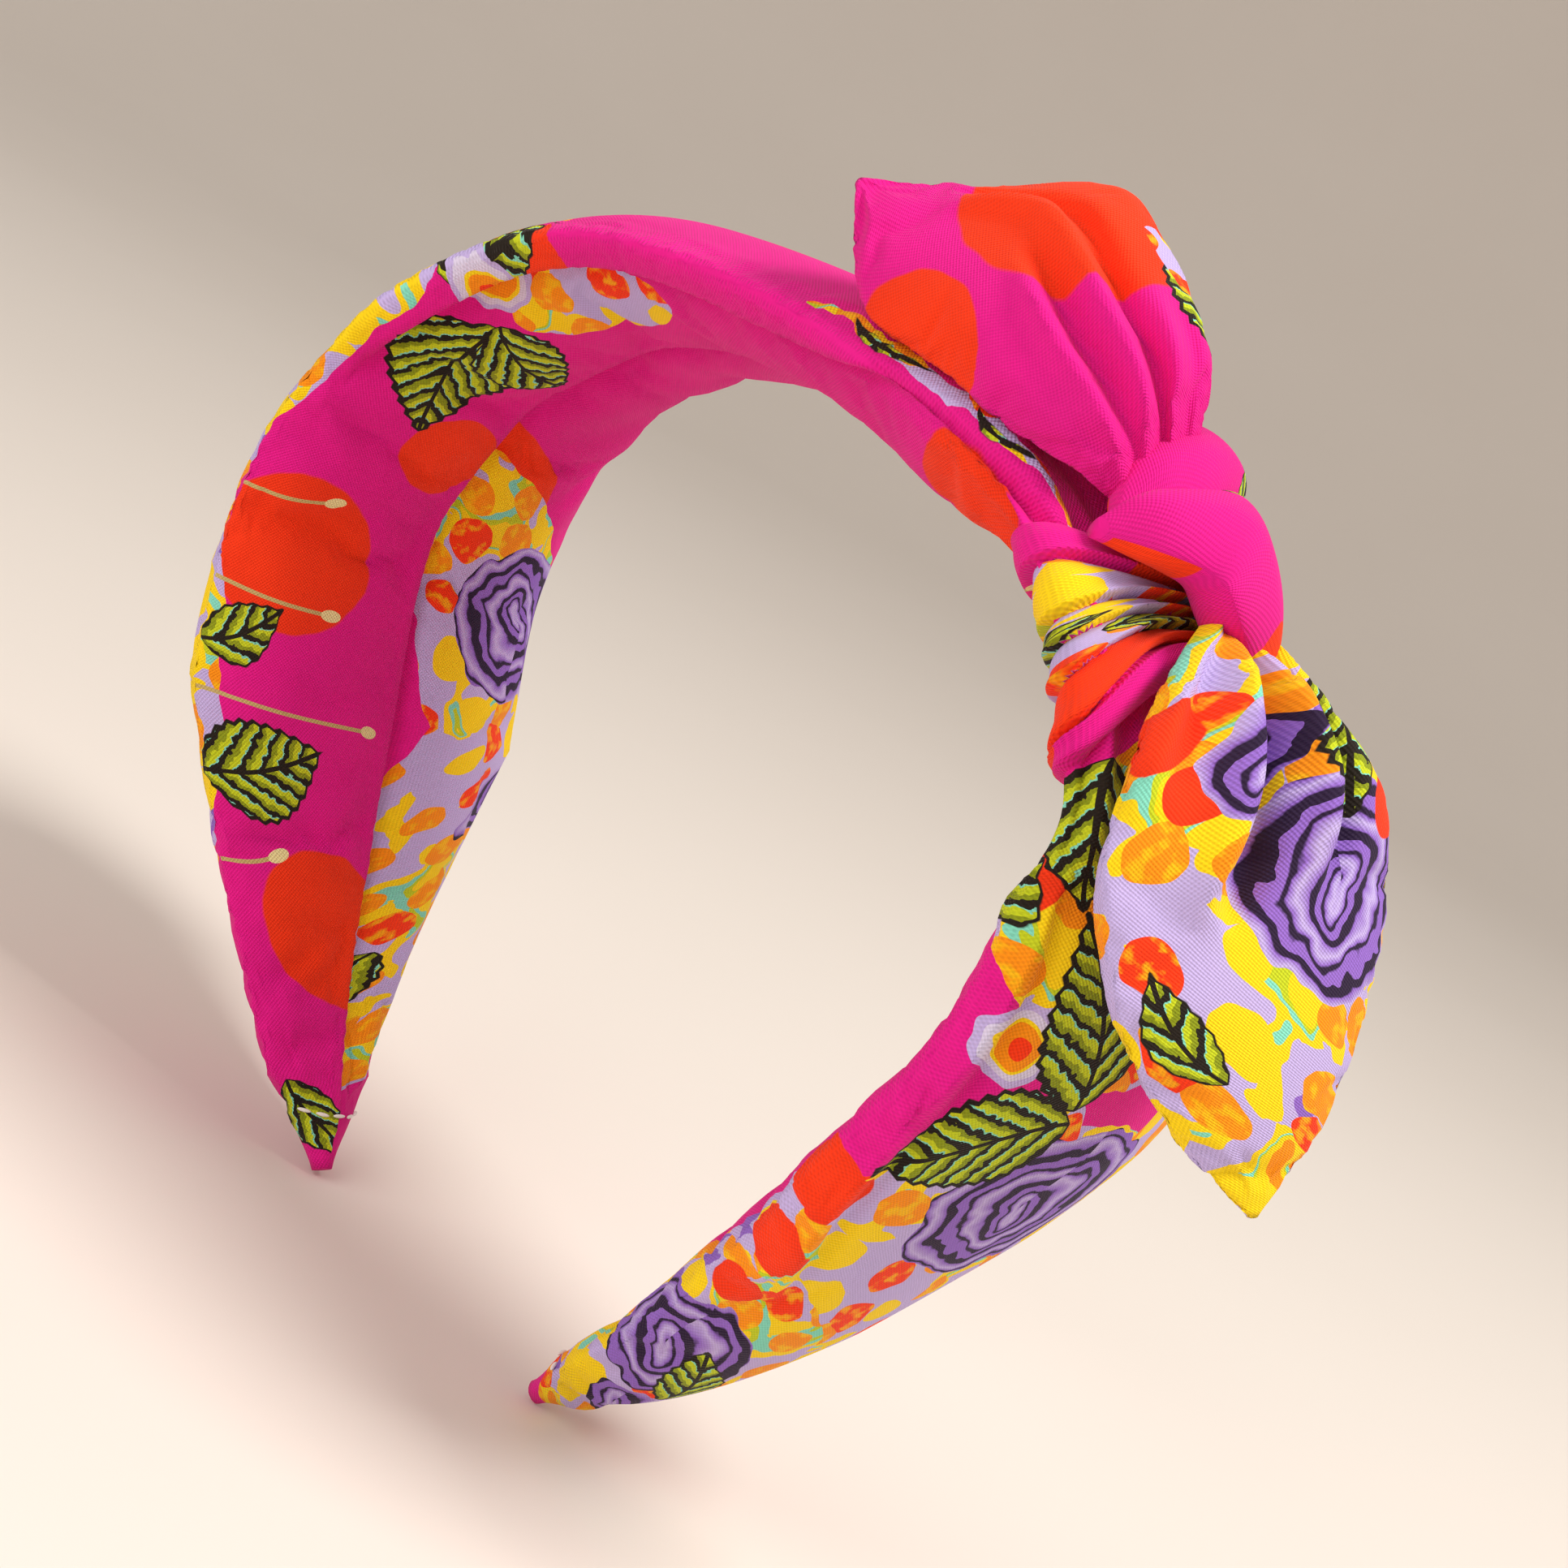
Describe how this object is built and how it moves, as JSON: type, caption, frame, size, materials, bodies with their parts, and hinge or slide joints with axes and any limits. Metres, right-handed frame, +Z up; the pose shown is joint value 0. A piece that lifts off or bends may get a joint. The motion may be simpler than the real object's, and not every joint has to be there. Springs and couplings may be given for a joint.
{
  "type": "knotted headband",
  "caption": "Padded fabric headband on a springy plastic arch, with a pleated wrap and a half knot that ends in two pointed ears.",
  "frame": {"origin": "centre of the opening that the head fills, half way between the crown and the tips", "axes": "+X across the legs, towards the leg beside the knot; +Y across the tube's width; +Z up through the crown"},
  "size_m": [0.17, 0.06, 0.1656],
  "materials": {
    "print_cotton": "plain-weave cotton with a bright printed pattern",
    "core_plastic": "moulded, matt",
    "wadding": "soft polyester wadding",
    "thread": "spun sewing thread"
  },
  "bodies": {
    "crown": {"core_crown": "core_plastic", "wadding_crown": "wadding", "cover_crown": "print_cotton", "knot_wrap": "print_cotton", "knot_tuck": "print_cotton", "knot_strap": "print_cotton", "knot_tack_stitches": "thread"},
    "left_leg": {"core_left_leg": "core_plastic", "wadding_left_leg": "wadding", "cover_left_leg": "print_cotton", "left_tip_stitches": "thread"},
    "right_leg": {"core_right_leg": "core_plastic", "wadding_right_leg": "wadding", "cover_right_leg": "print_cotton", "right_tip_stitches": "thread"},
    "upper_ear": {"upper_ear": "print_cotton"},
    "lower_ear": {"lower_ear": "print_cotton"}
  },
  "joints": [
    {"name": "left_leg_flex", "type": "hinge", "parent": "crown", "child": "left_leg", "pos_m": [-0.062, 0, 0.037], "axis": [0, 1, 0], "range_deg": [-4, 12], "stiffness_Nm_per_rad": 0.6},
    {"name": "right_leg_flex", "type": "hinge", "parent": "crown", "child": "right_leg", "pos_m": [0.062, 0, 0.037], "axis": [0, -1, 0], "range_deg": [-4, 12], "stiffness_Nm_per_rad": 0.6},
    {"name": "upper_ear_lift", "type": "hinge", "parent": "crown", "child": "upper_ear", "pos_m": [0.049, -0.012, 0.075], "axis": [0, 1, 0], "range_deg": [0, 30]},
    {"name": "lower_ear_lift", "type": "hinge", "parent": "crown", "child": "lower_ear", "pos_m": [0.07, -0.01, 0.055], "axis": [0, -1, 0], "range_deg": [0, 35]}
  ]
}
